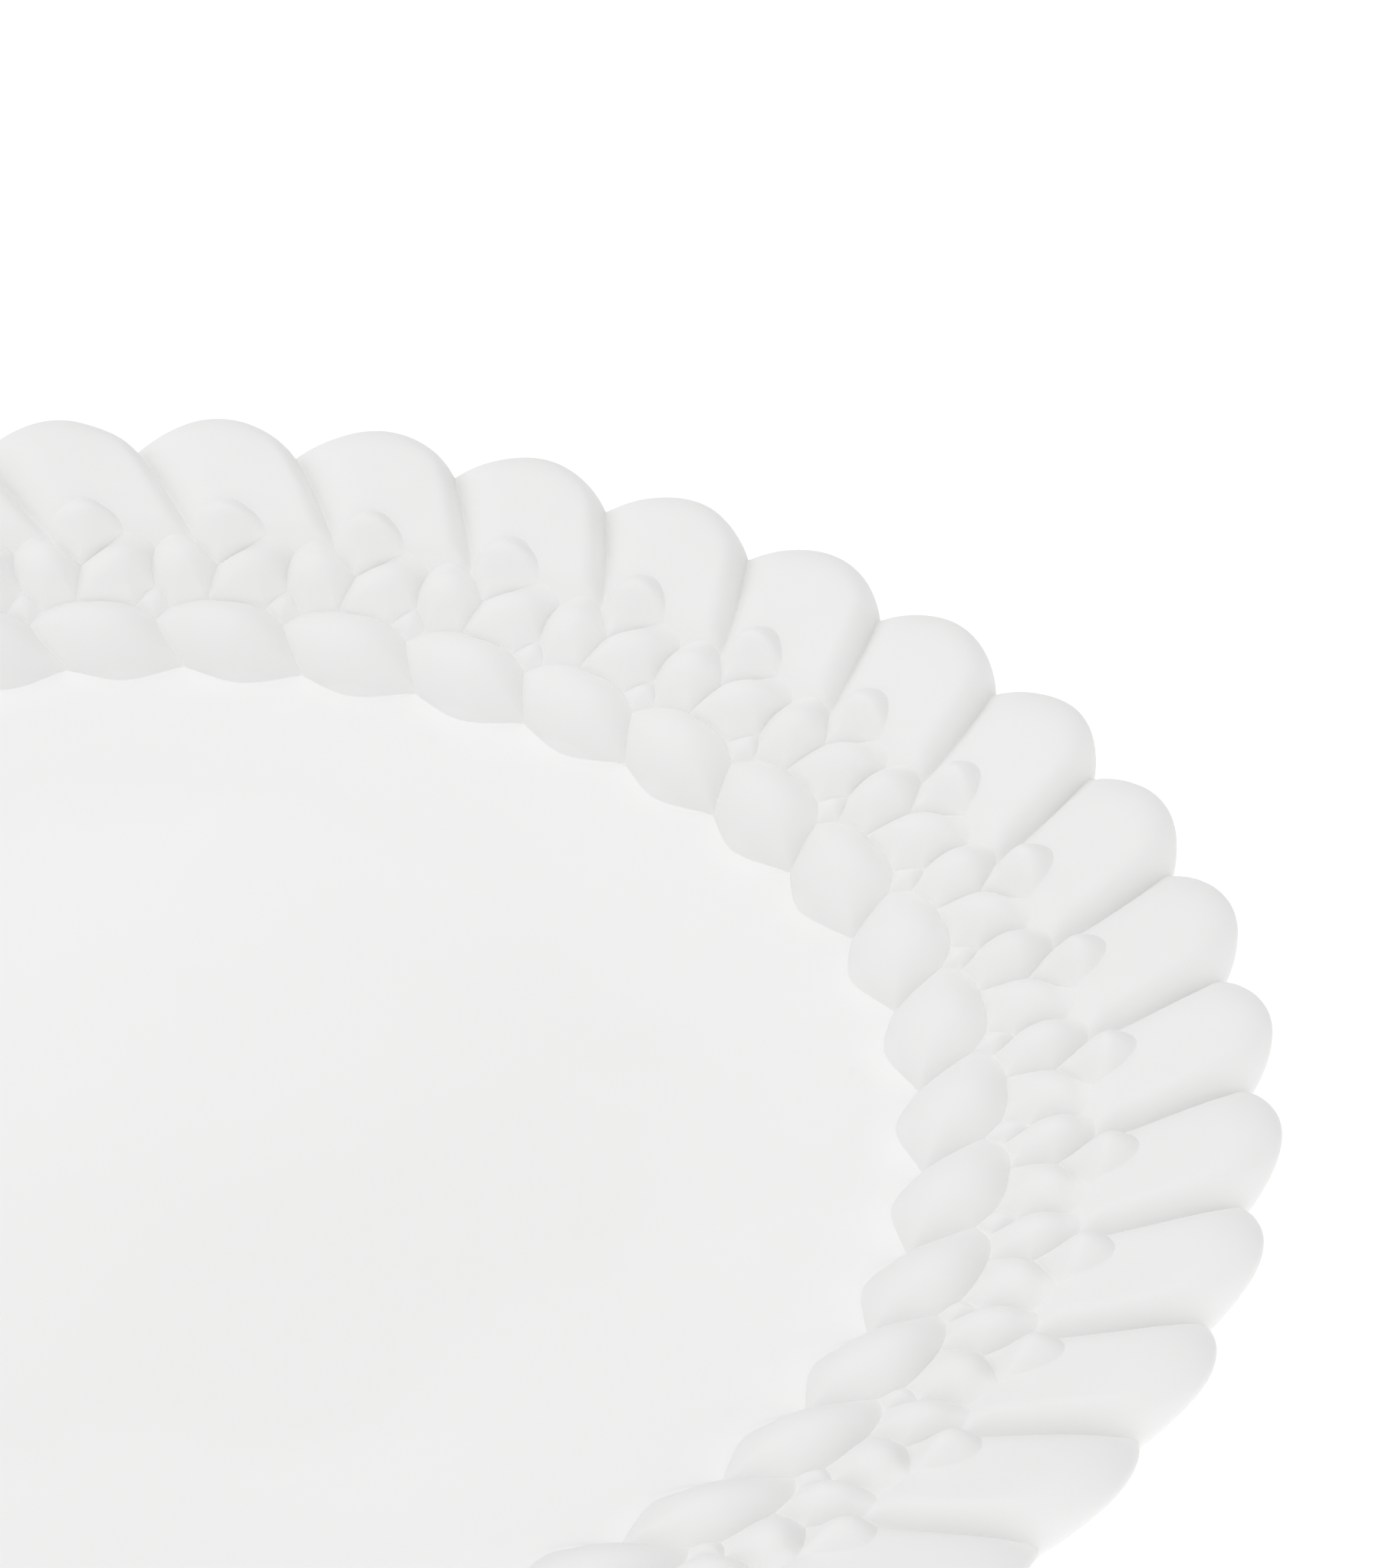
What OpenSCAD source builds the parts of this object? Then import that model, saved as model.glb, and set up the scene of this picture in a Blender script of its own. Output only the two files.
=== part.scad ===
// White porcelain presentation plate with a wide relief rim of leaning petals, buds, beads and leaves.
// Millimetres, +Z up, origin on the table under the middle of the plate.

/* [Plate] */
// Diameter across two opposite petal tips
plate_d = 310; // [270:5:340]
// Number of petals, and of every other relief element, around the rim
petal_count = 38; // [34:1:42]
// Height of the grooves between the petal tips above the table
notch_z = 19.8; // [18:0.1:24]
// Drop from the petal grooves to the middle of the glazed well
well_drop = 11.4; // [10:0.1:12]
// Clay thickness of the well
well_t = 4.4; // [4:0.1:5]

/* [Rim] */
// Clay thickness where the rim meets the well
rim_inner_t = 4.6; // [4:0.1:5.5]
// Clay thickness under the petal roots and at the petal tips
rim_outer_t = 3.2; // [2.6:0.1:4]

/* [Relief] */
// Height of a petal's crown over the grooves beside it, at its tip
petal_h = 4.6; // [3:0.1:5.5]
// Height of a petal's crown at its root
petal_root_h = 2.0; // [1:0.1:2.6]
// Height of a bud over the petal that it lies on
bud_h = 2.4; // [1:0.1:3]
// Height of a tall leaf in the bead row
tall_leaf_h = 2.9; // [1.5:0.1:3.5]
// Height of a round bead
bead_h = 3.0; // [1.5:0.1:3.5]
// Height of a small diamond
diamond_h = 1.1; // [0.5:0.1:1.5]
// Height of an inner leaf
inner_leaf_h = 3.7; // [2:0.1:4.5]

/* [Foot] */
// Outer diameter of the foot ring
foot_d = 192; // [170:2:200]
// Width of the foot ring's resting face
foot_face_w = 3.6; // [3:0.1:5]
// Width of the foot ring where it joins the well
foot_root_w = 6.4; // [5.5:0.1:8]

/* [Glaze] */
// Thickness of the glaze in the well
glaze_t = 0.4; // [0.3:0.1:0.6]

/* [Hidden] */
$fn = 180;

// Radii are fractions of the notch radius, and angles are in petal pitches, clockwise from a notch.
tip_reach = 0.026;
notch_r = plate_d / 2 / (1 + tip_reach);
pitch = 360 / petal_count;
first_notch = 90 + pitch / 2;  // so that the middle of a petal lies on +Y

well_edge = 0.70;        // where the well's clay ends and the rim's clay begins
rim_edge = 0.955;        // where the rim's own clay ends, under the petals
petal_root = 0.861;      // inner end of the petals
knee = 0.848;            // where the rim's steep cone turns into the nearly level shoulder
knee_softness = 0.012;   // half the width of that turn
outer_slope = 20;        // rise of the shoulder over one notch radius
well_dish = 0.45;        // rise of the well's surface from its middle to its edge
profile_steps = 14;      // straight stretches in a turned profile

bisque = [0.91, 0.91, 0.90];
glazed = [0.96, 0.96, 0.94];

// ---- turned surfaces ----

// Rise of the well's glazed surface above its own middle.
function dish(f) = well_dish * pow(min(f, well_edge) / well_edge, 4);
// Upper face of the glaze in the well.
function well_top(f) = notch_z - well_drop + dish(f);
// How much steeper the cone is than the shoulder, so that the rim starts level with the well's clay.
cone_slope = (well_drop - well_dish + glaze_t - outer_slope * (1 - well_edge)) / (knee - well_edge);
// Upper face of the rim's clay: a cone up from the well, then the shoulder out to the notches.
function rim_top(f) = notch_z - outer_slope * (1 - f)
    - cone_slope * knee_softness * ln(1 + exp((knee - f) / knee_softness));
// The surface that a relief element stands on.
function ground(f) = max(rim_top(f), well_top(f) - glaze_t);
// Clay thickness of the rim.
function rim_t(f) =
    rim_inner_t + (rim_outer_t - rim_inner_t) * (min(f, 1) - well_edge) / (1 - well_edge);
function rim_under(f) = rim_top(f) - rim_t(f);

function steps(from, to, count) = [for (i = [0 : count]) from + (to - from) * i / count];

// ---- relief elements: each is a low dome over a closed outline ----

// Point at pitch k and radius fraction f, at height z.
function place(k, f, z) =
    let (angle = first_notch - k * pitch)
    [f * notch_r * cos(angle), f * notch_r * sin(angle), z];

// Curve from a to b through m, without its last point, so that curves join into a loop.
function arc_through(a, m, b, count) =
    let (c = 2 * m - (a + b) / 2)
    [for (i = [0 : count - 1]) let (t = i / count)
        (1 - t) * (1 - t) * a + 2 * t * (1 - t) * c + t * t * b];

function loop_centre(loop) = [for (axis = [0, 1]) let (all = [for (p = loop) p[axis]])
    (min(all) + max(all)) / 2];

// Height of a dome at t, from 0 at its middle to 1 at its outline.
function dome(t) = pow(1 - pow(t, 2.2), 0.75);

dome_rings = [0.5, 0.82, 1];
seat = 0.2;              // depth that a dome's middle is set into the clay under it
groove_gap = 0.08;       // half the gap between neighbouring elements
element_half_w = 0.04 * notch_r;

// Petal crown under a point, for the elements that lie on a petal.
function petal_lift(k, f) =
    f < petal_root ? 0 :
    let (v = (f - petal_root) / (1 + tip_reach / 2 - petal_root), u = k - groove_k(v))
    crown(v) * crown_shape(u - floor(u));

module dome_solid(loop, height, turn) {
    centre = loop_centre(loop);
    n = len(loop);
    inset = 1 - groove_gap / element_half_w;
    ring_points = [for (t = dome_rings, p = loop)
        let (q = centre + inset * t * (p - centre))
        place(q[0] + turn, q[1], ground(q[1]) + petal_lift(q[0], q[1]) + height * dome(t))];
    middle_z = ground(centre[1]) + petal_lift(centre[0], centre[1]);
    top = place(centre[0] + turn, centre[1], middle_z + height);
    bottom = place(centre[0] + turn, centre[1], middle_z - seat);
    rings = len(dome_rings);
    points = concat(ring_points, [top, bottom]);
    faces = concat(
        [for (i = [0 : n - 1]) [rings * n, i, (i + 1) % n]],
        [for (j = [0 : rings - 2], i = [0 : n - 1])
            [j * n + i, (j + 1) * n + i, (j + 1) * n + (i + 1) % n]],
        [for (j = [0 : rings - 2], i = [0 : n - 1])
            [j * n + i, (j + 1) * n + (i + 1) % n, j * n + (i + 1) % n]],
        [for (i = [0 : n - 1])
            [rings * n + 1, (rings - 1) * n + (i + 1) % n, (rings - 1) * n + i]]);
    polyhedron(points, faces);
}

module ring_of_domes(loop, height) {
    for (i = [0 : petal_count - 1]) dome_solid(loop, height, i);
}

// Corners that neighbouring elements share, as [pitch, radius fraction].
leaf_tip = [0.17, 0.762];
well_cusp = [0.41, 0.712];
diamond_left = [0.00, 0.779];
diamond_right = [0.28, 0.779];
diamond_top = [0.15, 0.803];
bead_base = [0.565, 0.7855];
bead_shoulder = [0.14, 0.846];
bud_left = [0.43, 0.858];
bud_right = [0.93, 0.860];
bud_base = [0.615, 0.828];
next = [1, 0];

// ---- petals ----

// A petal runs from v = 0 at its root to v = 1 at its edge, and from u = 0 to u = 1 clockwise.
root_lean = 0.43;        // pitches that a petal's root lies clockwise of its tip
function groove_k(v) = root_lean * (1 - v);
function edge_f(u) = 1 + tip_reach * pow(sin(180 * pow(u, 1.15)), 0.8);
function edge_lift(u) = pow(max(0, sin(180 * u)), 0.75);
// Across its root a petal rises steeply, stays level, and rolls over at its clockwise groove.
function crown_shape(u) =
    (1 - pow(1 - min(u, 0.3) / 0.3, 3)) * pow(1 - pow(max(0, u - 0.7) / 0.3, 3), 0.8);
function crown(v) = petal_root_h + (petal_h - petal_root_h) * v;
function petal_shape(u, v) = (1 - v * v) * crown_shape(u) + v * v * edge_lift(u);

petal_across = 8;
shoulder = 0.94;         // v where the rounded edge starts
flute = 0.6;             // share of the crown that the underside follows
petal_min_t = 0.15;      // least height of a petal over the clay under it
// [share, part]: part 1 is the upper face, 0 the middle of the edge, -1 the underside outside the
// rim's clay, and -2 the seat on that clay. The share runs outwards from 0 to 1 on each part.
petal_rows = [[0, 1], [0.35, 1], [0.7, 1], [shoulder, 1], [1, 0], [shoulder, -1], [0, -1],
              [1, -2], [0.5, -2], [0, -2]];

function petal_f(u, share, part) =
    let (inner = part == -1 ? rim_edge : petal_root, outer = part == -2 ? rim_edge : edge_f(u))
    inner + (outer - inner) * share;
function petal_v(u, f) = (f - petal_root) / (edge_f(u) - petal_root);
function petal_z(u, f, part) =
    let (base = rim_top(f),
         v = petal_v(u, f),
         lift = crown(v) * petal_shape(u, v),
         top = base + max(lift, petal_min_t),
         under = base - rim_outer_t + flute * lift * v)
    part == 1 ? top : part == 0 ? (top + under) / 2 : part == -1 ? under : base;

module petal(turn) {
    gap = groove_gap * petal_count / (2 * PI * notch_r);
    rows = len(petal_rows);
    across = petal_across + 1;
    points = [for (row = petal_rows, i = [0 : petal_across])
        let (u = gap + (1 - 2 * gap) * i / petal_across, f = petal_f(u, row[0], row[1]))
        place(u + groove_k(petal_v(u, f)) + turn, f, petal_z(u, f, row[1]))];
    faces = concat(
        [for (j = [0 : rows - 1], i = [0 : petal_across - 1])
            let (a = j * across + i, b = (j + 1) % rows * across + i) [a, b, a + 1]],
        [for (j = [0 : rows - 1], i = [0 : petal_across - 1])
            let (a = j * across + i, b = (j + 1) % rows * across + i) [a + 1, b, b + 1]],
        petal_side(0, rows, across),
        [for (face = petal_side(across - 1, rows, across)) [face[0], face[2], face[1]]]);
    polyhedron(points, faces);
}

// The side of a petal is a strip between its upper rows and the rows under them.
function petal_side(i, rows, across) = [for (j = [0 : rows / 2 - 2], half = [0, 1])
    let (a = j * across + i, b = (rows - 1 - j) * across + i)
    half == 0 ? [a, b, a + across] : [a + across, b, b - across]];

// ---- nodes ----

module well() {
    color(bisque) rotate_extrude() polygon(concat(
        [for (f = steps(0, well_edge, profile_steps)) [f * notch_r, well_top(f) - glaze_t]],
        [[well_edge * notch_r, rim_under(well_edge)],
         [foot_d / 2, well_top(0) - glaze_t - well_t],
         [0, well_top(0) - glaze_t - well_t]]));
}

module rim() {
    fractions = steps(well_edge, rim_edge, profile_steps);
    color(bisque) rotate_extrude() polygon(concat(
        [for (f = fractions) [f * notch_r, rim_top(f)]],
        [for (i = [profile_steps : -1 : 0]) [fractions[i] * notch_r, rim_under(fractions[i])]]));
}

module foot_ring() {
    well_under = well_top(0) - glaze_t - well_t;
    outer = foot_d / 2;
    inner = outer - foot_root_w;
    chamfer = 0.5;
    taper = (foot_root_w - foot_face_w) / 2 - chamfer;
    color(bisque) rotate_extrude() polygon([
        [outer, well_under], [outer - taper, chamfer], [outer - taper - chamfer, 0],
        [inner + taper + chamfer, 0], [inner + taper, chamfer], [inner, well_under]]);
}

module well_glaze() {
    glaze_edge = 0.686;
    fractions = steps(0, glaze_edge, profile_steps);
    color(glazed) rotate_extrude() polygon(concat(
        [for (f = fractions) [f * notch_r, well_top(f)]],
        [for (i = [profile_steps : -1 : 0])
            [fractions[i] * notch_r, well_top(fractions[i]) - glaze_t]]));
}

module petals() {
    color(bisque) for (i = [0 : petal_count - 1]) petal(i);
}

module buds() {
    color(bisque) ring_of_domes(concat(
        arc_through(bud_base, [0.52, 0.843], bud_left, 2),
        arc_through(bud_left, [0.435, 0.880], [0.53, 0.894], 2),
        arc_through([0.53, 0.894], [0.655, 0.900], [0.78, 0.889], 3),
        arc_through([0.78, 0.889], [0.865, 0.876], bud_right, 3),
        arc_through(bud_right, [0.76, 0.845], bud_base, 2)), bud_h);
}

module tall_leaves() {
    color(bisque) ring_of_domes(concat(
        arc_through(bead_base, [0.575, 0.805], bud_base, 2),
        arc_through(bud_base, [0.76, 0.845], bud_right, 2),
        arc_through(bud_right, [1.05, 0.857], bead_shoulder + next, 2),
        arc_through(bead_shoulder + next, [1.115, 0.825], diamond_top + next, 2),
        arc_through(diamond_top + next, [1.07, 0.793], diamond_left + next, 1),
        arc_through(diamond_left + next, [0.79, 0.785], bead_base, 3)), tall_leaf_h);
}

module round_beads() {
    color(bisque) ring_of_domes(concat(
        arc_through(diamond_top, [0.115, 0.825], bead_shoulder, 2),
        arc_through(bead_shoulder, [0.27, 0.859], bud_left, 3),
        arc_through(bud_left, [0.52, 0.843], bud_base, 2),
        arc_through(bud_base, [0.575, 0.805], bead_base, 2),
        arc_through(bead_base, [0.42, 0.784], diamond_right, 2),
        arc_through(diamond_right, [0.22, 0.792], diamond_top, 1)), bead_h);
}

module diamonds() {
    color(bisque) ring_of_domes(concat(
        arc_through(leaf_tip, [0.09, 0.770], diamond_left, 1),
        arc_through(diamond_left, [0.07, 0.793], diamond_top, 2),
        arc_through(diamond_top, [0.22, 0.792], diamond_right, 2),
        arc_through(diamond_right, [0.225, 0.772], leaf_tip, 1)), diamond_h);
}

module inner_leaves() {
    color(bisque) ring_of_domes(concat(
        arc_through(leaf_tip, [0.40, 0.783], [0.65, 0.785], 3),
        arc_through([0.65, 0.785], [0.94, 0.781], leaf_tip + next, 3),
        arc_through(leaf_tip + next, [1.31, 0.738], well_cusp + next, 2),
        arc_through(well_cusp + next, [1.18, 0.695], [0.90, 0.686], 3),
        arc_through([0.90, 0.686], [0.64, 0.695], well_cusp, 2),
        arc_through(well_cusp, [0.31, 0.738], leaf_tip, 2)), inner_leaf_h);
}

well();
rim();
foot_ring();
well_glaze();
petals();
buds();
tall_leaves();
round_beads();
diamonds();
inner_leaves();
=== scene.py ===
import math

import bmesh
import bpy
import numpy as np
from mathutils import Matrix, Vector


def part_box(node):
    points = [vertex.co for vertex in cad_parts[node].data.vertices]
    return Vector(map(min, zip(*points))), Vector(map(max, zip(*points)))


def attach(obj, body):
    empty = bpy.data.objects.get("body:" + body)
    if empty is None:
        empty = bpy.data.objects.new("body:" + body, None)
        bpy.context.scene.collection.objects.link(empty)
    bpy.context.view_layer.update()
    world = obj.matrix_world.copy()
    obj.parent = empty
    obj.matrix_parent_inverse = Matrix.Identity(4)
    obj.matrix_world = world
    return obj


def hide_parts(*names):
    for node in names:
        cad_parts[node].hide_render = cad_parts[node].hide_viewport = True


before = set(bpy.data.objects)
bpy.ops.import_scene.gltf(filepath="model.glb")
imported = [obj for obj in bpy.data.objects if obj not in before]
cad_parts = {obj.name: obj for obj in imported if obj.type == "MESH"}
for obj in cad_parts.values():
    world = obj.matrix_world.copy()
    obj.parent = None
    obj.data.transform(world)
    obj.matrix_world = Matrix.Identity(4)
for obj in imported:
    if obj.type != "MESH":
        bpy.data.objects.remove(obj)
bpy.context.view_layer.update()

# White porcelain presentation plate: a shallow glazed well inside a wide matte rim in relief.
# Shapes are worked out in millimetres, and add_piece() turns them into metres.
# Around the rim a place is [k, f]: k counts petal pitches clockwise from the first notch, and f is
# a fraction of the notch radius. Heights are millimetres above the table.

MM = 0.001

# ---- sizes, from the frame ----

petal_low, petal_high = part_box("petals")
_, glaze_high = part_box("well_glaze")
_, foot_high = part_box("foot_ring")
well_low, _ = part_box("well")

PETAL_COUNT = 38
TIP_REACH = 0.0257        # how far a petal's tip reaches past the notches
CAD_PETAL_RISE = 4.76     # height of the frame's petals over the notches
NOTCH_R = (petal_high.y - petal_low.y) / 2 / MM / (1 + TIP_REACH)
NOTCH_Z = petal_high.z / MM - CAD_PETAL_RISE
PITCH = 2 * math.pi / PETAL_COUNT
FIRST_NOTCH = math.pi / 2 + PITCH / 2

WELL_DISH = 0.45          # rise of the glazed surface from its middle to its edge
WELL_EDGE = 0.70          # where the well's clay ends and the rim's clay begins
GLAZE_T = 0.4
CAD_GLAZE_RISE = 0.42     # height of the frame's glaze at its edge over the middle of the well
WELL_Z = glaze_high.z / MM - CAD_GLAZE_RISE
WELL_UNDER = well_low.z / MM
RIM_EDGE = 0.955          # where the rim's own clay ends, under the petals
RIM_INNER_T = 4.6
RIM_OUTER_T = 3.2
FOOT_FILLET = 1.6         # size of the curve between the foot ring and the well

PETAL_ROOT = 0.861        # where a petal's groove ends
PETAL_INNER = 0.838       # where the petals have sunk into the rim, under the beads
PETAL_FULL = 0.875        # where they have risen to their full height
ROOT_LEAN = 0.43          # pitches that a petal's root lies clockwise of its tip
LIP_AT_NOTCH = 0.012      # length of the rounded edge, as a fraction of the notch radius
LIP_AT_CREST = 0.052
PETAL_ROOT_H = 2.6
PETAL_TIP_H = 5.8
PETAL_TIP_ROLL = 0.9      # how far a petal's crown drops again towards its tip
TIP_ROLL_START = 0.65     # where on its way to the tip that drop begins
UNDER_FLUTE = 0.6         # share of a petal's rise that its underside follows at the edge
GROOVE_SOFTNESS = 0.40    # rounding of the grooves between petals
CREASE_SOFTNESS = 0.42    # rounding of the creases round the beads and leaves
SUNK = 0.03               # depth that each element's outline is set below the clay around it
OVERLAP = 1.04            # how much larger each element is than its outline

BUD_H = 3.1
TALL_LEAF_H = 3.6
BEAD_H = 3.7
DIAMOND_H = 1.7
INNER_LEAF_H = 4.7
HEIGHT_SPREAD = 0.05      # how much the heights of like elements differ, as a standard deviation
ELEMENT_ROOT = 0.5        # depth of the point inside the clay that closes an element

MENISCUS_H = 0.40         # how far the glaze climbs where it meets the leaves
MENISCUS_REACH = 1.5

rng = np.random.default_rng(38)


# ---- the surface that the relief stands on ----

def soft_step(x):
    x = np.clip(x, 0, 1)
    return x * x * (3 - 2 * x)


def softplus(x, width):
    return width * np.logaddexp(0, x / width)


def soften(height, softness):
    """Rounds off the crease at the foot of a height that rises from 0."""
    return np.sqrt(height ** 2 + softness ** 2) - softness


def rim_top(f):
    """Height of the rim's clay: a steep cone outwards from the well, then nearly level."""
    outer_slope, inner_slope, knee, knee_softness = 20.0, 54.4, 0.848, 0.012
    steepening = (inner_slope - outer_slope) * softplus(knee - f, knee_softness)
    return NOTCH_Z - outer_slope * (1 - f) - steepening


def rim_under(f):
    share = (np.minimum(f, 1) - WELL_EDGE) / (1 - WELL_EDGE)
    return rim_top(f) - (RIM_INNER_T + (RIM_OUTER_T - RIM_INNER_T) * share)


def glaze_top(f):
    return WELL_Z + WELL_DISH * (np.minimum(f, WELL_EDGE) / WELL_EDGE) ** 4


def groove_k(v):
    """Pitches that a groove lies clockwise of its notch, from v = 0 at its root to 1 at its edge."""
    return ROOT_LEAN * (1 - np.maximum(v, 0))


def edge_f(u):
    """The scalloped outline across one petal, from u = 0 to u = 1 clockwise. Its crest lies a little
    past the middle, and it is rounder than a sine."""
    notch_f, reach, skew, roundness = 0.999, TIP_REACH + 0.0012, 1.15, 0.8
    return notch_f + reach * np.sin(math.pi * u ** skew) ** roundness


def across_root(u):
    """Across its root a petal rises steeply, stays level, and rolls over at its clockwise groove."""
    rise, fall = 0.3, 0.24
    rising = 1 - (1 - np.clip(u, 0, rise) / rise) ** 3
    falling = 1 - (np.clip(u - (1 - fall), 0, fall) / fall) ** 2.4
    return rising * falling


def across_tip(u):
    return np.sin(math.pi * np.clip(u, 0, 1)) ** 0.75


def petal_lift(u, v, f):
    """Height of a petal over the rim's clay."""
    w = np.clip(v, 0, 1)
    tip_share = w ** 3
    roll = np.clip((w - TIP_ROLL_START) / (1 - TIP_ROLL_START), 0, 1) ** 2
    crown = PETAL_ROOT_H + (PETAL_TIP_H - PETAL_ROOT_H) * w - PETAL_TIP_ROLL * roll
    height = crown * ((1 - tip_share) * across_root(u) + tip_share * across_tip(u))
    height = height * soft_step((f - PETAL_INNER) / (PETAL_FULL - PETAL_INNER))
    return soften(height, GROOVE_SOFTNESS)


def clay_top(k, f):
    """Height of the rim with its petals, at any place."""
    v = (f - PETAL_ROOT) / (1 - PETAL_ROOT)
    # Where a place lies across its petal and how far along it depend on each other.
    for _ in range(4):
        u = (k - groove_k(v)) % 1.0
        v = (f - PETAL_ROOT) / (edge_f(u) - PETAL_ROOT)
    return np.maximum(rim_top(f), glaze_top(f) - GLAZE_T) + petal_lift(u, v, f)


# ---- meshes ----

# Each wave has a heading, a wavelength, a phase and a direction in which it pushes.
DRIFT = [(rng.uniform(0, 2 * math.pi), rng.uniform(13, 45), rng.uniform(0, 2 * math.pi),
          rng.uniform(0, 2 * math.pi)) for _ in range(10)]
DRIFT_STEP = 0.07         # how far one wave shifts a point


def drift(points):
    """Shifts points sideways a little, in long waves, so that no two petals are quite alike."""
    moved = points.copy()
    for heading, wavelength, phase, push in DRIFT:
        along = points[:, 0] * math.cos(heading) + points[:, 1] * math.sin(heading)
        wave = DRIFT_STEP * np.sin(along * 2 * math.pi / wavelength + phase)
        moved[:, 0] += wave * math.cos(push)
        moved[:, 1] += wave * math.sin(push)
    return moved


def at(k, f, z):
    """Points in millimetres for arrays of places and heights."""
    angle = FIRST_NOTCH - np.asarray(k) * PITCH
    radius = np.asarray(f) * NOTCH_R
    axes = np.broadcast_arrays(radius * np.cos(angle), radius * np.sin(angle), z)
    return np.stack(axes, -1).reshape(-1, 3)


def grid_quads(rows, columns, rows_close, columns_close):
    """Quads of a grid whose vertices are numbered row by row."""
    row = np.arange(rows if rows_close else rows - 1)[:, None]
    column = np.arange(columns if columns_close else columns - 1)[None, :]
    next_row = (row + 1) % rows
    next_column = (column + 1) % columns
    corners = [row * columns + column, row * columns + next_column,
               next_row * columns + next_column, next_row * columns + column]
    return np.stack(np.broadcast_arrays(*corners), -1).reshape(-1, 4)


def fan(centre, ring):
    """Triangles from one vertex to a closed ring of vertices."""
    return np.stack([np.full(len(ring), centre), ring, np.roll(ring, -1)], -1)


def add_piece(name, points, quads, triangles, material, replaced):
    mesh = bpy.data.meshes.new(name)
    mesh.from_pydata((points * MM).tolist(), [], quads.tolist() + triangles.tolist())
    solid = bmesh.new()
    solid.from_mesh(mesh)
    bmesh.ops.recalc_face_normals(solid, faces=solid.faces)
    solid.to_mesh(mesh)
    solid.free()
    mesh.polygons.foreach_set("use_smooth", np.ones(len(mesh.polygons), bool))
    mesh.set_sharp_from_angle(angle=math.radians(50))
    mesh.materials.append(material)
    piece = bpy.data.objects.new(name, mesh)
    bpy.context.scene.collection.objects.link(piece)
    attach(piece, "root")
    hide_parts(replaced)


NO_TRIANGLES = np.zeros((0, 3), int)
TURNED_SEGMENTS = 12 * PETAL_COUNT


def add_lathe(name, profile, material, replaced):
    """Turns a closed profile of (radius, height) about the plate's axis. A profile that starts and
    ends on the axis makes a disc."""
    profile = np.array(profile, float)
    is_disc = profile[0, 0] == 0
    off_axis = profile[1:-1] if is_disc else profile
    segments = TURNED_SEGMENTS
    angle = np.arange(segments) * 2 * math.pi / segments
    radius, z = off_axis[:, :1], off_axis[:, 1:]
    points = np.stack([radius * np.cos(angle), radius * np.sin(angle),
                       np.repeat(z, segments, 1)], -1).reshape(-1, 3)
    quads = grid_quads(len(off_axis), segments, not is_disc, True)
    triangles = NO_TRIANGLES
    if is_disc:
        count = len(points)
        points = np.vstack([points, [[0, 0, profile[0, 1]], [0, 0, profile[-1, 1]]]])
        triangles = np.vstack([fan(count, np.arange(segments)),
                               fan(count + 1, np.arange(count - segments, count))])
    add_piece(name, points, quads, triangles, material, replaced)


def rounded(corners, steps=8):
    """A profile whose corners, given as (radius, height, rounding), are replaced by curves."""
    points = []
    count = len(corners)
    for i, (x, z, rounding) in enumerate(corners):
        here = np.array([x, z])
        if rounding == 0:
            points.append(here)
            continue
        before = np.array(corners[i - 1][:2]) - here
        after = np.array(corners[(i + 1) % count][:2]) - here
        a = here + before / np.linalg.norm(before) * rounding
        b = here + after / np.linalg.norm(after) * rounding
        for t in np.linspace(0, 1, steps):
            points.append((1 - t) ** 2 * a + 2 * t * (1 - t) * here + t ** 2 * b)
    return points


# ---- outlines of the relief elements, as [k, f] ----

leaf_tip = np.array([0.17, 0.762])
well_cusp = np.array([0.41, 0.712])
diamond_left = np.array([0.00, 0.779])
diamond_right = np.array([0.28, 0.779])
diamond_top = np.array([0.15, 0.803])
bead_base = np.array([0.565, 0.7855])
bead_shoulder = np.array([0.14, 0.846])
bud_left = np.array([0.43, 0.858])
bud_right = np.array([0.93, 0.860])
bud_base = np.array([0.615, 0.828])
next_pitch = np.array([1.0, 0.0])


def curve(a, middle, b, count=24):
    """A smooth curve from a through middle to b, without b itself."""
    a, middle, b = np.array(a), np.array(middle), np.array(b)
    pull = 2 * middle - (a + b) / 2
    t = np.linspace(0, 1, count, endpoint=False)[:, None]
    return (1 - t) ** 2 * a + 2 * t * (1 - t) * pull + t ** 2 * b


bud_outline = np.vstack([
    curve(bud_base, (0.52, 0.843), bud_left),
    curve(bud_left, (0.435, 0.880), (0.53, 0.894)),
    curve((0.53, 0.894), (0.655, 0.900), (0.78, 0.889)),
    curve((0.78, 0.889), (0.865, 0.876), bud_right),
    curve(bud_right, (0.76, 0.845), bud_base)])

tall_leaf_outline = np.vstack([
    curve(bead_base, (0.575, 0.805), bud_base),
    curve(bud_base, (0.76, 0.845), bud_right),
    curve(bud_right, (1.05, 0.857), bead_shoulder + next_pitch),
    curve(bead_shoulder + next_pitch, (1.115, 0.825), diamond_top + next_pitch),
    curve(diamond_top + next_pitch, (1.07, 0.793), diamond_left + next_pitch),
    curve(diamond_left + next_pitch, (0.79, 0.785), bead_base)])

bead_outline = np.vstack([
    curve(diamond_top, (0.115, 0.825), bead_shoulder),
    curve(bead_shoulder, (0.27, 0.859), bud_left),
    curve(bud_left, (0.52, 0.843), bud_base),
    curve(bud_base, (0.575, 0.805), bead_base),
    curve(bead_base, (0.42, 0.784), diamond_right),
    curve(diamond_right, (0.22, 0.792), diamond_top)])

diamond_outline = np.vstack([
    curve(leaf_tip, (0.09, 0.770), diamond_left),
    curve(diamond_left, (0.07, 0.793), diamond_top),
    curve(diamond_top, (0.22, 0.792), diamond_right),
    curve(diamond_right, (0.225, 0.772), leaf_tip)])

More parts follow.
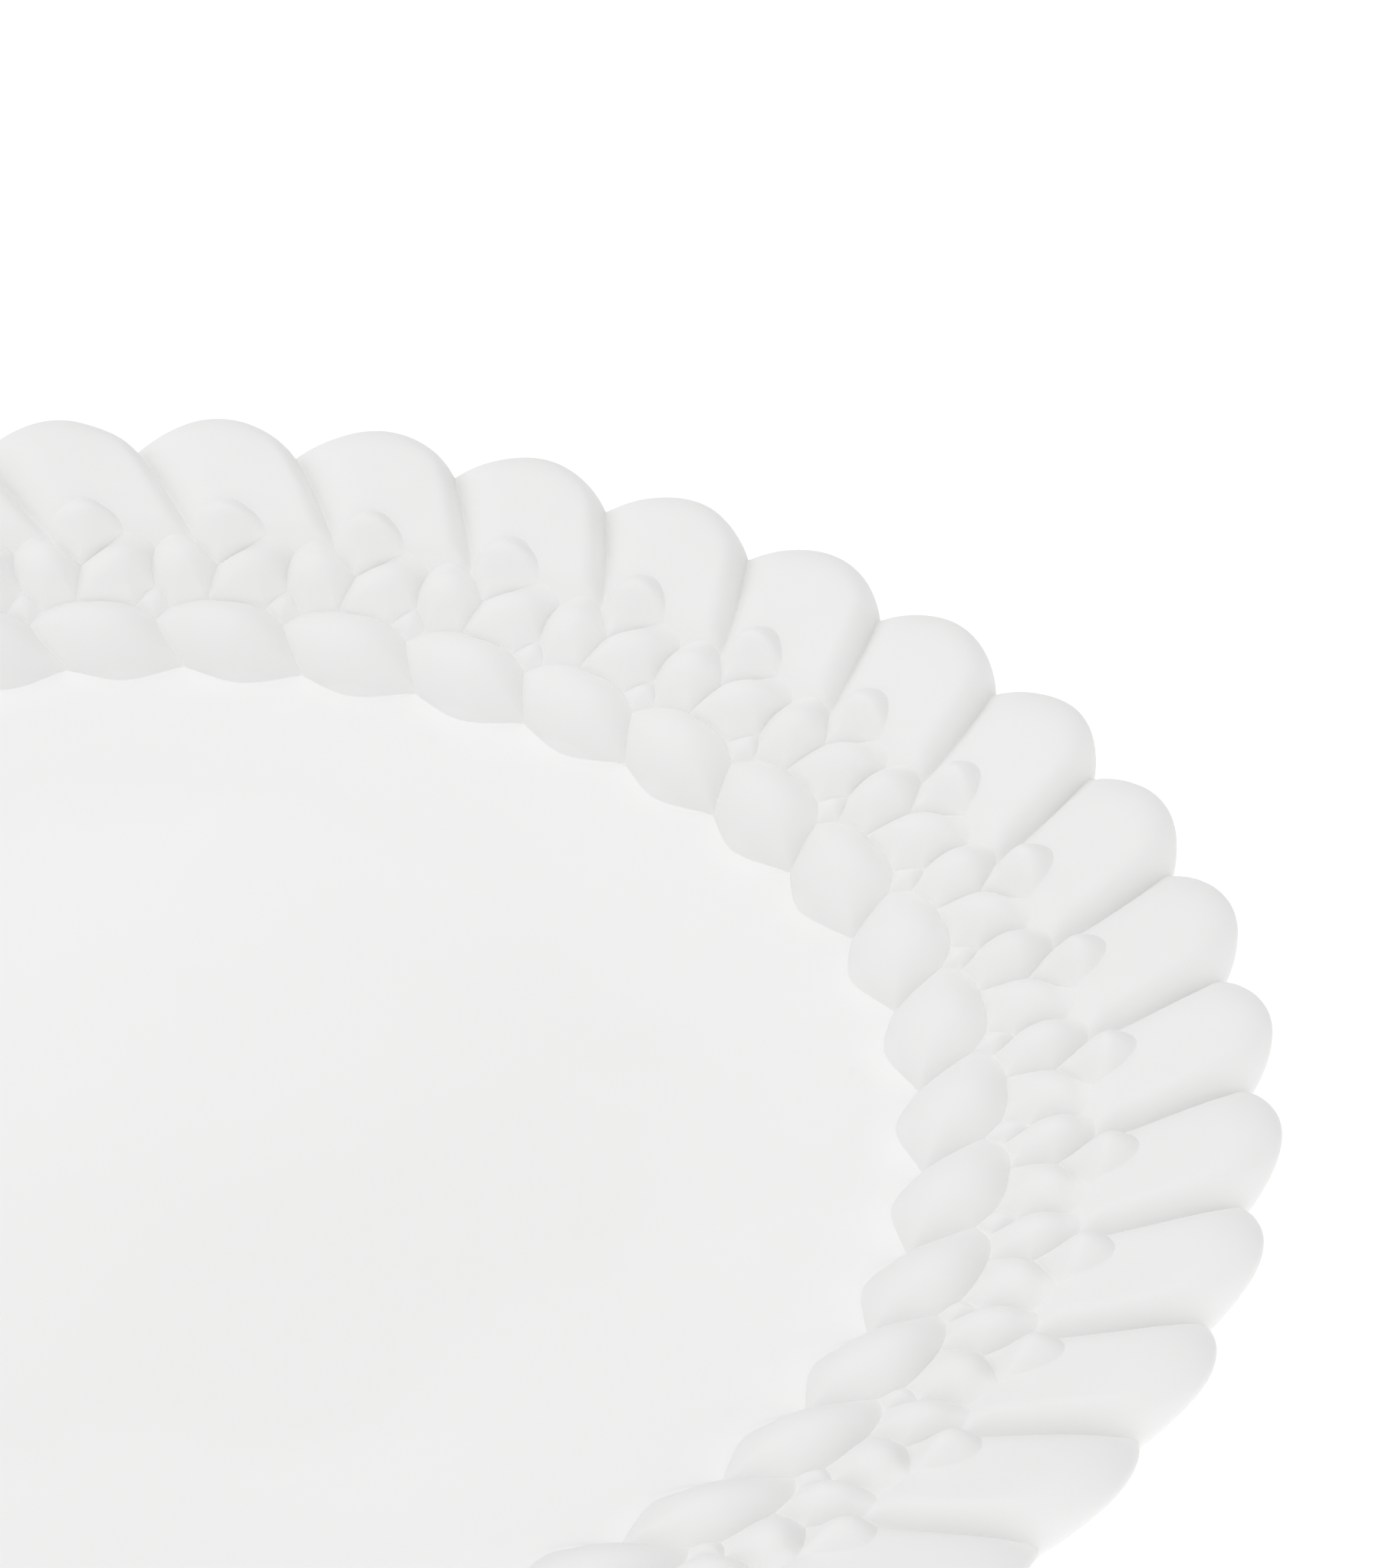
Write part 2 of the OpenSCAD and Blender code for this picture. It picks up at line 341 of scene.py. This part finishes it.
leaf_inner_edge = np.vstack([
    curve(well_cusp + next_pitch, (1.19, 0.690), (0.90, 0.680)),
    curve((0.90, 0.680), (0.63, 0.690), well_cusp)])

leaf_outline = np.vstack([
    curve(leaf_tip, (0.40, 0.783), (0.65, 0.785)),
    curve((0.65, 0.785), (0.94, 0.781), leaf_tip + next_pitch),
    curve(leaf_tip + next_pitch, (1.265, 0.737), well_cusp + next_pitch),
    leaf_inner_edge,
    curve(well_cusp, (0.265, 0.737), leaf_tip)])


# ---- pieces ----

def even_loop(outline, count):
    """The outline at evenly spaced points. Distances are measured on the rim, not in pitches."""
    middle_f = outline[:, 1].mean()
    flat = outline * [PITCH * middle_f * NOTCH_R, NOTCH_R]
    closed = np.vstack([flat, flat[:1]])
    run = np.concatenate([[0], np.cumsum(np.linalg.norm(np.diff(closed, axis=0), axis=1))])
    places = np.linspace(0, run[-1], count, endpoint=False)
    loop = np.stack([np.interp(places, run, closed[:, 0]), np.interp(places, run, closed[:, 1])], -1)
    return loop / [PITCH * middle_f * NOTCH_R, NOTCH_R]


def rounder(loop):
    """The ellipse nearest to a loop, point by point, about the loop's middle."""
    scale = np.array([PITCH * loop[:, 1].mean(), 1.0])
    flat = loop * scale
    signal = np.fft.fft(flat[:, 0] + 1j * flat[:, 1])
    kept = np.zeros_like(signal)
    kept[[0, 1, -1]] = signal[[0, 1, -1]]
    ellipse = np.fft.ifft(kept)
    return np.stack([ellipse.real, ellipse.imag], -1) / scale


def pillow_rings(outline, height, around, rings):
    """Places and heights of one pillow, from its outline in to near its middle."""
    loop = even_loop(outline, around)
    inner = rounder(loop)
    middle = inner.mean(0)
    loop = middle + OVERLAP * (loop - middle)
    innermost, power = 0.06, 0.88     # a power of 1 would make a paraboloid, 0.5 an ellipsoid
    places = []
    heights = []
    # The rings crowd together near the outline and turn from its shape to the ellipse's.
    for t in np.sin(np.linspace(math.pi / 2, innermost, rings)):
        keep = t ** 2
        places.append(middle + t * (keep * (loop - middle) + (1 - keep) * (inner - middle)))
        rise = height * (1 - t ** 2) ** power
        heights.append(np.full(around, soften(rise, CREASE_SOFTNESS)))
    return np.vstack(places), np.concatenate(heights), middle


def add_pillows(name, outline, height, material, replaced, around=64, rings=18):
    """One closed pillow per petal pitch, each a little higher or lower than the next."""
    places, heights, middle = pillow_rings(outline, height, around, rings)
    quads = grid_quads(rings, around, False, True)
    top = rings * around
    triangles = np.vstack([fan(top, np.arange(top - around, top)), fan(top + 1, np.arange(around))])
    all_points, all_quads, all_triangles = [], [], []
    for i in range(PETAL_COUNT):
        scale = 1 + HEIGHT_SPREAD * rng.standard_normal()
        k = places[:, 0] + i
        points = at(k, places[:, 1], clay_top(k, places[:, 1]) + heights * scale - SUNK)
        middle_z = clay_top(middle[0] + i, middle[1])
        crown = at(middle[0] + i, middle[1], middle_z + height * scale - CREASE_SOFTNESS)
        root = at(middle[0] + i, middle[1], middle_z - ELEMENT_ROOT)
        first = i * (top + 2)
        all_points.append(np.vstack([points, crown, root]))
        all_quads.append(quads + first)
        all_triangles.append(triangles + first)
    add_piece(name, drift(np.vstack(all_points)), np.vstack(all_quads),
              np.vstack(all_triangles), material, replaced)


def add_petals(material):
    """The ring of petals: upper side, rounded lip, fluted underside, and a seat inside the rim."""
    columns, crowding = 56, 0.8     # crowding moves columns towards the grooves
    upper_rows, lip_rows, under_rows = 28, 16, 6
    flute_f = 0.99                  # where the underside's flutes reach their full depth
    seat_level = -0.4               # inside the rim's clay
    w = np.arange(columns) / columns
    u = np.tile(w - crowding * np.sin(2 * math.pi * w) / (2 * math.pi), PETAL_COUNT)
    index = np.repeat(np.arange(PETAL_COUNT), columns)
    edge = edge_f(u)
    lip = LIP_AT_NOTCH + (LIP_AT_CREST - LIP_AT_NOTCH) * across_tip(u)
    lip_start = edge - lip
    rows = []

    def add_row(f, level):
        """level is 1 on the upper face, -1 on the underside and between them round the lip."""
        v = (f - PETAL_ROOT) / (edge - PETAL_ROOT)
        lift = petal_lift(u, v, f)
        hollow = UNDER_FLUTE * lift * soft_step((f - RIM_EDGE) / (flute_f - RIM_EDGE))
        upper = rim_top(f) + lift
        under = rim_top(f) - RIM_OUTER_T + hollow
        z = (upper + under) / 2 + (upper - under) / 2 * level
        rows.append(at(index + u + groove_k(v), f, z))

    for s in np.linspace(0, 1, upper_rows):
        add_row(PETAL_INNER + (lip_start - PETAL_INNER) * s, 1.0)
    for angle in np.linspace(0, math.pi, lip_rows)[1:]:
        add_row(lip_start + lip * math.sin(angle), math.cos(angle))
    for s in np.linspace(1, 0, under_rows)[1:]:
        add_row(RIM_EDGE + (np.maximum(lip_start, RIM_EDGE) - RIM_EDGE) * s, -1.0)
    for f in (RIM_EDGE, PETAL_INNER):
        add_row(np.full(len(u), f), seat_level)
    quads = grid_quads(len(rows), columns * PETAL_COUNT, True, True)
    points = drift(np.vstack(rows))
    add_piece("petal_ring", points, quads, NO_TRIANGLES, material, "petals")


def add_rim(material):
    """The clay under the relief, turned, a little below the petals where they cover it."""
    tuck, outer = 0.02, RIM_EDGE + 0.004     # the upper face starts under the well's edge
    cover_depth, cover_ramp = 0.15, 0.01
    top_f = np.linspace(WELL_EDGE - tuck, outer, 48)
    cover = cover_depth * soft_step((top_f - PETAL_INNER) / cover_ramp)
    under_f = np.linspace(outer, WELL_EDGE, 30)
    profile = [(f * NOTCH_R, rim_top(f) - c) for f, c in zip(top_f, cover)]
    profile += [(f * NOTCH_R, rim_under(f)) for f in under_f]
    add_lathe("rim_body", profile, material, "rim")


def add_well(material):
    profile = [(0, WELL_Z - GLAZE_T)]
    profile += [(f * NOTCH_R, glaze_top(f) - GLAZE_T) for f in np.linspace(0.05, WELL_EDGE, 20)]
    profile += [(WELL_EDGE * NOTCH_R, rim_under(WELL_EDGE)),
                (foot_high.x / MM + FOOT_FILLET, WELL_UNDER), (0, WELL_UNDER)]
    add_lathe("well_body", profile, material, "well")


def add_foot(material):
    """The foot ring, with a soft fillet where it leaves the well and rounded edges at its face."""
    outer = foot_high.x / MM
    root_w, face_w, edge_rounding = 6.4, 3.6, 0.7
    tuck = 0.2                # how far the fillets reach into the well's clay
    inner = outer - root_w
    slant = (root_w - face_w) / 2
    under = WELL_UNDER
    corners = [
        (outer + FOOT_FILLET, under + tuck, 0), (outer + FOOT_FILLET, under, 0),
        (outer - tuck, under, FOOT_FILLET), (outer - slant, 0, edge_rounding),
        (inner + slant, 0, edge_rounding), (inner + tuck, under, FOOT_FILLET),
        (inner - FOOT_FILLET, under, 0), (inner - FOOT_FILLET, under + tuck, 0)]
    add_lathe("foot", rounded(corners), material, "foot_ring")


def add_glaze(material):
    """The glaze in the well. It climbs a little where it meets the leaves."""
    per_pitch = 24
    tuck = 0.012              # how far it runs in under the leaves, as a fraction
    climb_stop = -0.3         # it climbs no more from this far inside a leaf's outline
    swell_h = 0.02
    k = np.arange(per_pitch * PETAL_COUNT) / per_pitch
    edge_k, edge = leaf_inner_edge[::-1, 0], leaf_inner_edge[::-1, 1]
    leaf_f = np.interp((k - well_cusp[0]) % 1.0 + well_cusp[0], edge_k, edge)
    outer = leaf_f + tuck
    # Each swell of the surface has a heading, a wavelength and a phase.
    swell = [(rng.uniform(0, 2 * math.pi), rng.uniform(50, 110), rng.uniform(0, 2 * math.pi))
             for _ in range(5)]
    rows = []

    def add_row(f, depth):
        gap = (leaf_f - f) * NOTCH_R
        z = glaze_top(f) + MENISCUS_H * np.exp(-np.maximum(gap, climb_stop) / MENISCUS_REACH)
        points = at(k, f, z)
        for heading, wavelength, phase in swell:
            along = points[:, 0] * math.cos(heading) + points[:, 1] * math.sin(heading)
            points[:, 2] += swell_h * np.sin(along * 2 * math.pi / wavelength + phase)
        points[:, 2] -= depth
        rows.append(points)

    shares = np.concatenate([np.linspace(0.04, 0.92, 22), np.linspace(0.93, 1.0, 22)])
    for share in shares:
        add_row(outer * share, 0.0)
    for share in (1.0, 0.7, 0.3, 0.04):
        add_row(outer * share, GLAZE_T)
    count = len(rows) * len(k)
    points = np.vstack(rows + [[[0, 0, WELL_Z], [0, 0, WELL_Z - GLAZE_T]]])
    triangles = np.vstack([fan(count, np.arange(len(k))),
                           fan(count + 1, np.arange(count - len(k), count))])
    quads = grid_quads(len(rows), len(k), False, True)
    add_piece("well_pool", drift(points), quads, triangles, material, "well_glaze")


# ---- materials ----

class Nodes:
    """Short calls for building a material's node tree."""

    def __init__(self, name):
        self.material = bpy.data.materials.new(name)
        self.material.use_nodes = True
        self.tree = self.material.node_tree
        self.shader = self.tree.nodes["Principled BSDF"]
        self.place = self.add("ShaderNodeTexCoord").outputs["Object"]

    def add(self, kind, **settings):
        node = self.tree.nodes.new(kind)
        for key, value in settings.items():
            setattr(node, key, value)
        return node

    def link(self, source, target):
        self.tree.links.new(source, target)

    def noise(self, size, detail=2.0):
        """Noise whose blotches are about size metres across."""
        node = self.add("ShaderNodeTexNoise")
        node.inputs["Scale"].default_value = 1 / size
        node.inputs["Detail"].default_value = detail
        self.link(self.place, node.inputs["Vector"])
        return node.outputs["Fac"]

    def from_axis(self):
        """Distance from the plate's axis."""
        flat = self.add("ShaderNodeVectorMath", operation="MULTIPLY")
        flat.inputs[1].default_value = (1, 1, 0)
        self.link(self.place, flat.inputs[0])
        length = self.add("ShaderNodeVectorMath", operation="LENGTH")
        self.link(flat.outputs["Vector"], length.inputs[0])
        return length.outputs["Value"]

    def along(self, direction):
        """Distance from the plate's middle, measured in a direction."""
        node = self.add("ShaderNodeVectorMath", operation="DOT_PRODUCT")
        node.inputs[1].default_value = direction
        self.link(self.place, node.inputs[0])
        return node.outputs["Value"]

    def spread(self, source, low, high, start=0.3, end=0.7):
        node = self.add("ShaderNodeMapRange")
        node.inputs["From Min"].default_value = start
        node.inputs["From Max"].default_value = end
        node.inputs["To Min"].default_value = low
        node.inputs["To Max"].default_value = high
        self.link(source, node.inputs["Value"])
        return node.outputs["Result"]

    def mix(self, factor, a, b):
        node = self.add("ShaderNodeMix", data_type="RGBA")
        self.link(factor, node.inputs["Factor"])
        for socket, value in ((node.inputs["A"], a), (node.inputs["B"], b)):
            if isinstance(value, tuple):
                socket.default_value = (*value, 1)
            else:
                self.link(value, socket)
        return node.outputs["Result"]

    def maths(self, operation, a, b):
        node = self.add("ShaderNodeMath", operation=operation)
        for socket, value in zip(node.inputs, (a, b)):
            if isinstance(value, float):
                socket.default_value = value
            else:
                self.link(value, socket)
        return node.outputs["Value"]

    def bump(self, height, depth, normal=None):
        node = self.add("ShaderNodeBump")
        node.inputs["Distance"].default_value = depth
        self.link(height, node.inputs["Height"])
        if normal is not None:
            self.link(normal, node.inputs["Normal"])
        return node.outputs["Normal"]

    def specks(self, spacing, radius, share):
        """1 on sparse round specks: one in some cells of the given spacing, in metres."""
        cells = self.add("ShaderNodeTexVoronoi")
        cells.inputs["Scale"].default_value = 1 / spacing
        self.link(self.place, cells.inputs["Vector"])
        split = self.add("ShaderNodeSeparateColor")
        self.link(cells.outputs["Color"], split.inputs["Color"])
        size = self.maths("MULTIPLY", split.outputs["Green"], radius / spacing)
        near = self.maths("LESS_THAN", cells.outputs["Distance"], size)
        chosen = self.maths("LESS_THAN", split.outputs["Red"], share)
        return self.maths("MULTIPLY", near, chosen)


def clay_tone(n):
    """The white of the clay, very faintly cloudy."""
    return n.mix(n.spread(n.noise(0.030), 0.0, 1.0), (0.898, 0.898, 0.891), (0.913, 0.913, 0.907))


def make_biscuit():
    """Matte unglazed porcelain: a fine even grain, faint cloudiness and a rare dark speck."""
    n = Nodes("biscuit_porcelain")
    specks = n.specks(spacing=0.024, radius=0.0006, share=0.12)
    n.link(n.mix(specks, clay_tone(n), (0.33, 0.31, 0.28)), n.shader.inputs["Base Color"])
    n.link(n.spread(n.noise(0.004), 0.52, 0.66), n.shader.inputs["Roughness"])
    grain = n.bump(n.noise(0.0007, 3.0), 0.000012)
    n.link(n.bump(n.noise(0.0045), 0.00004, grain), n.shader.inputs["Normal"])
    n.shader.inputs["IOR"].default_value = 1.45
    return n.material


def make_glaze():
    """Clear gloss glaze over white porcelain. Its colour has a painted highlight where it meets the
    leaves, and painted shade across the middle of the well, faintly lighter on one side and darker
    on the other inside an uneven ring."""
    n = Nodes("clear_glaze")
    notch_r = NOTCH_R * MM
    # Painted light in the glaze's colour: painted shade across the middle of the well and a painted
    # highlight along its edge against the leaves.
    radius = n.maths("ADD", n.from_axis(), n.spread(n.noise(0.035), -0.008, 0.008))
    # inside: the middle disc that holds the painted shade.
    inside = n.spread(radius, 1.0, 0.0, 0.41 * notch_r, 0.50 * notch_r)
    # side: the painted shade, darker towards +X and -Y and lighter towards -X and +Y.
    side = n.spread(n.along((0.70, -0.70, 0.0)), -1.0, 1.0, -0.30 * notch_r, 0.26 * notch_r)
    # edge: the band against the leaves, whitened as a painted highlight.
    edge = n.spread(radius, 0.0, 1.0, 0.66 * notch_r, 0.71 * notch_r)
    painted_shade_and_highlight = n.maths("SUBTRACT", n.maths("MULTIPLY", inside, side), edge)
    painted_light_with_cloud = n.maths("ADD", painted_shade_and_highlight, n.spread(n.noise(0.045), -0.25, 0.25))
    # The lighter white is the painted highlight and lit side, the darker white the painted shade;
    # the noise adds real cloudiness.
    glaze_white_painted_light = n.mix(n.spread(painted_light_with_cloud, 0.0, 1.0, -1.0, 1.0),
                 (0.956, 0.956, 0.950), (0.918, 0.918, 0.911))
    specks = n.specks(spacing=0.020, radius=0.0005, share=0.10)
    n.link(n.mix(specks, glaze_white_painted_light, (0.36, 0.33, 0.29)), n.shader.inputs["Base Color"])
    n.link(n.spread(n.noise(0.012), 0.07, 0.12), n.shader.inputs["Roughness"])
    peel = n.bump(n.noise(0.0030), 0.000004)
    n.link(n.bump(n.noise(0.020), 0.00003, peel), n.shader.inputs["Normal"])
    n.shader.inputs["IOR"].default_value = 1.5
    return n.material


def make_foot_clay():
    """The foot: the same clay, rubbed a little grey and rougher on the face that it stands on."""
    n = Nodes("foot_clay")
    height = n.add("ShaderNodeSeparateXYZ")
    n.link(n.place, height.inputs["Vector"])
    edge = n.maths("ADD", height.outputs["Z"], n.maths("MULTIPLY", n.noise(0.002), 0.0006))
    worn = n.spread(edge, 1.0, 0.0, 0.0003, 0.0010)
    n.link(n.mix(worn, clay_tone(n), (0.78, 0.765, 0.735)), n.shader.inputs["Base Color"])
    n.link(n.spread(worn, 0.58, 0.85, 0.0, 1.0), n.shader.inputs["Roughness"])
    n.link(n.bump(n.noise(0.0008, 4.0), 0.00003), n.shader.inputs["Normal"])
    return n.material


def make_floor_material():
    n = Nodes("pale_sweep")
    n.link(n.mix(n.spread(n.noise(0.5), 0.0, 1.0), (0.90, 0.90, 0.90), (0.92, 0.92, 0.92)),
           n.shader.inputs["Base Color"])
    n.shader.inputs["Roughness"].default_value = 0.9
    n.shader.inputs["Emission Color"].default_value = (1, 1, 1, 1)
    n.shader.inputs["Emission Strength"].default_value = 0.3
    return n.material


# ---- stage ----

# The light tent glows in broad patches: (azimuth from +X towards +Y, elevation, strength). The
# brightest is high behind the plate on the left.
TENT_GLOWS = [(0, 12, 0.74), (180, 12, 0.45), (240, 12, 0.84), (300, 12, 0.88),
              (120, 45, 1.18), (0, 90, 0.42)]
GLOW_REACH = 60           # degrees from the middle of a patch to where it has faded out


def add_floor():
    mesh = bpy.data.meshes.new("floor")
    solid = bmesh.new()
    bmesh.ops.create_circle(solid, cap_ends=True, segments=96, radius=9.0)
    solid.to_mesh(mesh)
    solid.free()
    mesh.materials.append(make_floor_material())
    floor = bpy.data.objects.new("floor", mesh)
    bpy.context.scene.collection.objects.link(floor)


def add_light():
    """A white light tent, lit in six broad overlapping patches."""
    world = bpy.data.worlds.new("light_tent")
    world.use_nodes = True
    tree = world.node_tree
    way = tree.nodes.new("ShaderNodeTexCoord").outputs["Generated"]
    total = None
    for azimuth, elevation, strength in TENT_GLOWS:
        a, e = math.radians(azimuth), math.radians(elevation)
        facing = tree.nodes.new("ShaderNodeVectorMath")
        facing.operation = "DOT_PRODUCT"
        facing.inputs[1].default_value = (
            math.cos(a) * math.cos(e), math.sin(a) * math.cos(e), math.sin(e))
        tree.links.new(way, facing.inputs[0])
        glow = tree.nodes.new("ShaderNodeMapRange")
        glow.interpolation_type = "SMOOTHSTEP"
        glow.inputs["From Min"].default_value = math.cos(math.radians(GLOW_REACH))
        glow.inputs["From Max"].default_value = 1.0
        glow.inputs["To Min"].default_value = 0.0
        glow.inputs["To Max"].default_value = strength
        tree.links.new(facing.outputs["Value"], glow.inputs["Value"])
        if total is None:
            total = glow.outputs["Result"]
            continue
        both = tree.nodes.new("ShaderNodeMath")
        tree.links.new(total, both.inputs[0])
        tree.links.new(glow.outputs["Result"], both.inputs[1])
        total = both.outputs["Value"]
    tree.links.new(total, tree.nodes["Background"].inputs["Strength"])
    tree.nodes["Background"].inputs["Color"].default_value = (1, 1, 1, 1)
    bpy.context.scene.world = world


def add_camera():
    """The photograph's viewpoint: from the front and above, on the plate's far right quarter."""
    turn, elevation, roll = math.radians(-0.699), math.radians(35.795), math.radians(2.171)
    notch_r = NOTCH_R * MM
    target = Vector((0.4907, 0.4405, 0.0)) * notch_r + Vector((0, 0, NOTCH_Z * MM))
    distance = 6.2640 * notch_r
    back = Vector((math.sin(turn) * math.cos(elevation), -math.cos(turn) * math.cos(elevation),
                   math.sin(elevation)))
    level = Vector((math.cos(turn), math.sin(turn), 0))
    up = back.cross(level)
    right = level * math.cos(roll) + up * math.sin(roll)
    top = up * math.cos(roll) - level * math.sin(roll)
    lens = bpy.data.cameras.new("camera")
    lens.sensor_fit = "AUTO"
    lens.sensor_width = 36
    lens.lens = 151.0
    lens.clip_start = 0.05
    lens.clip_end = 40
    camera = bpy.data.objects.new("camera", lens)
    place = target + back * distance
    camera.matrix_world = Matrix((
        (right.x, top.x, back.x, place.x), (right.y, top.y, back.y, place.y),
        (right.z, top.z, back.z, place.z), (0, 0, 0, 1)))
    bpy.context.scene.collection.objects.link(camera)
    bpy.context.scene.camera = camera


add_camera()
add_floor()
add_light()
bpy.context.scene.view_settings.view_transform = "Standard"

biscuit = make_biscuit()
add_petals(biscuit)
add_pillows("bud_row", bud_outline, BUD_H, biscuit, "buds")
add_pillows("tall_leaf_row", tall_leaf_outline, TALL_LEAF_H, biscuit, "tall_leaves")
add_pillows("bead_row", bead_outline, BEAD_H, biscuit, "round_beads")
add_pillows("diamond_row", diamond_outline, DIAMOND_H, biscuit, "diamonds", 48, 12)
add_pillows("inner_leaf_row", leaf_outline, INNER_LEAF_H, biscuit, "inner_leaves", 88, 22)
add_rim(biscuit)
add_well(biscuit)
add_foot(make_foot_clay())
add_glaze(make_glaze())
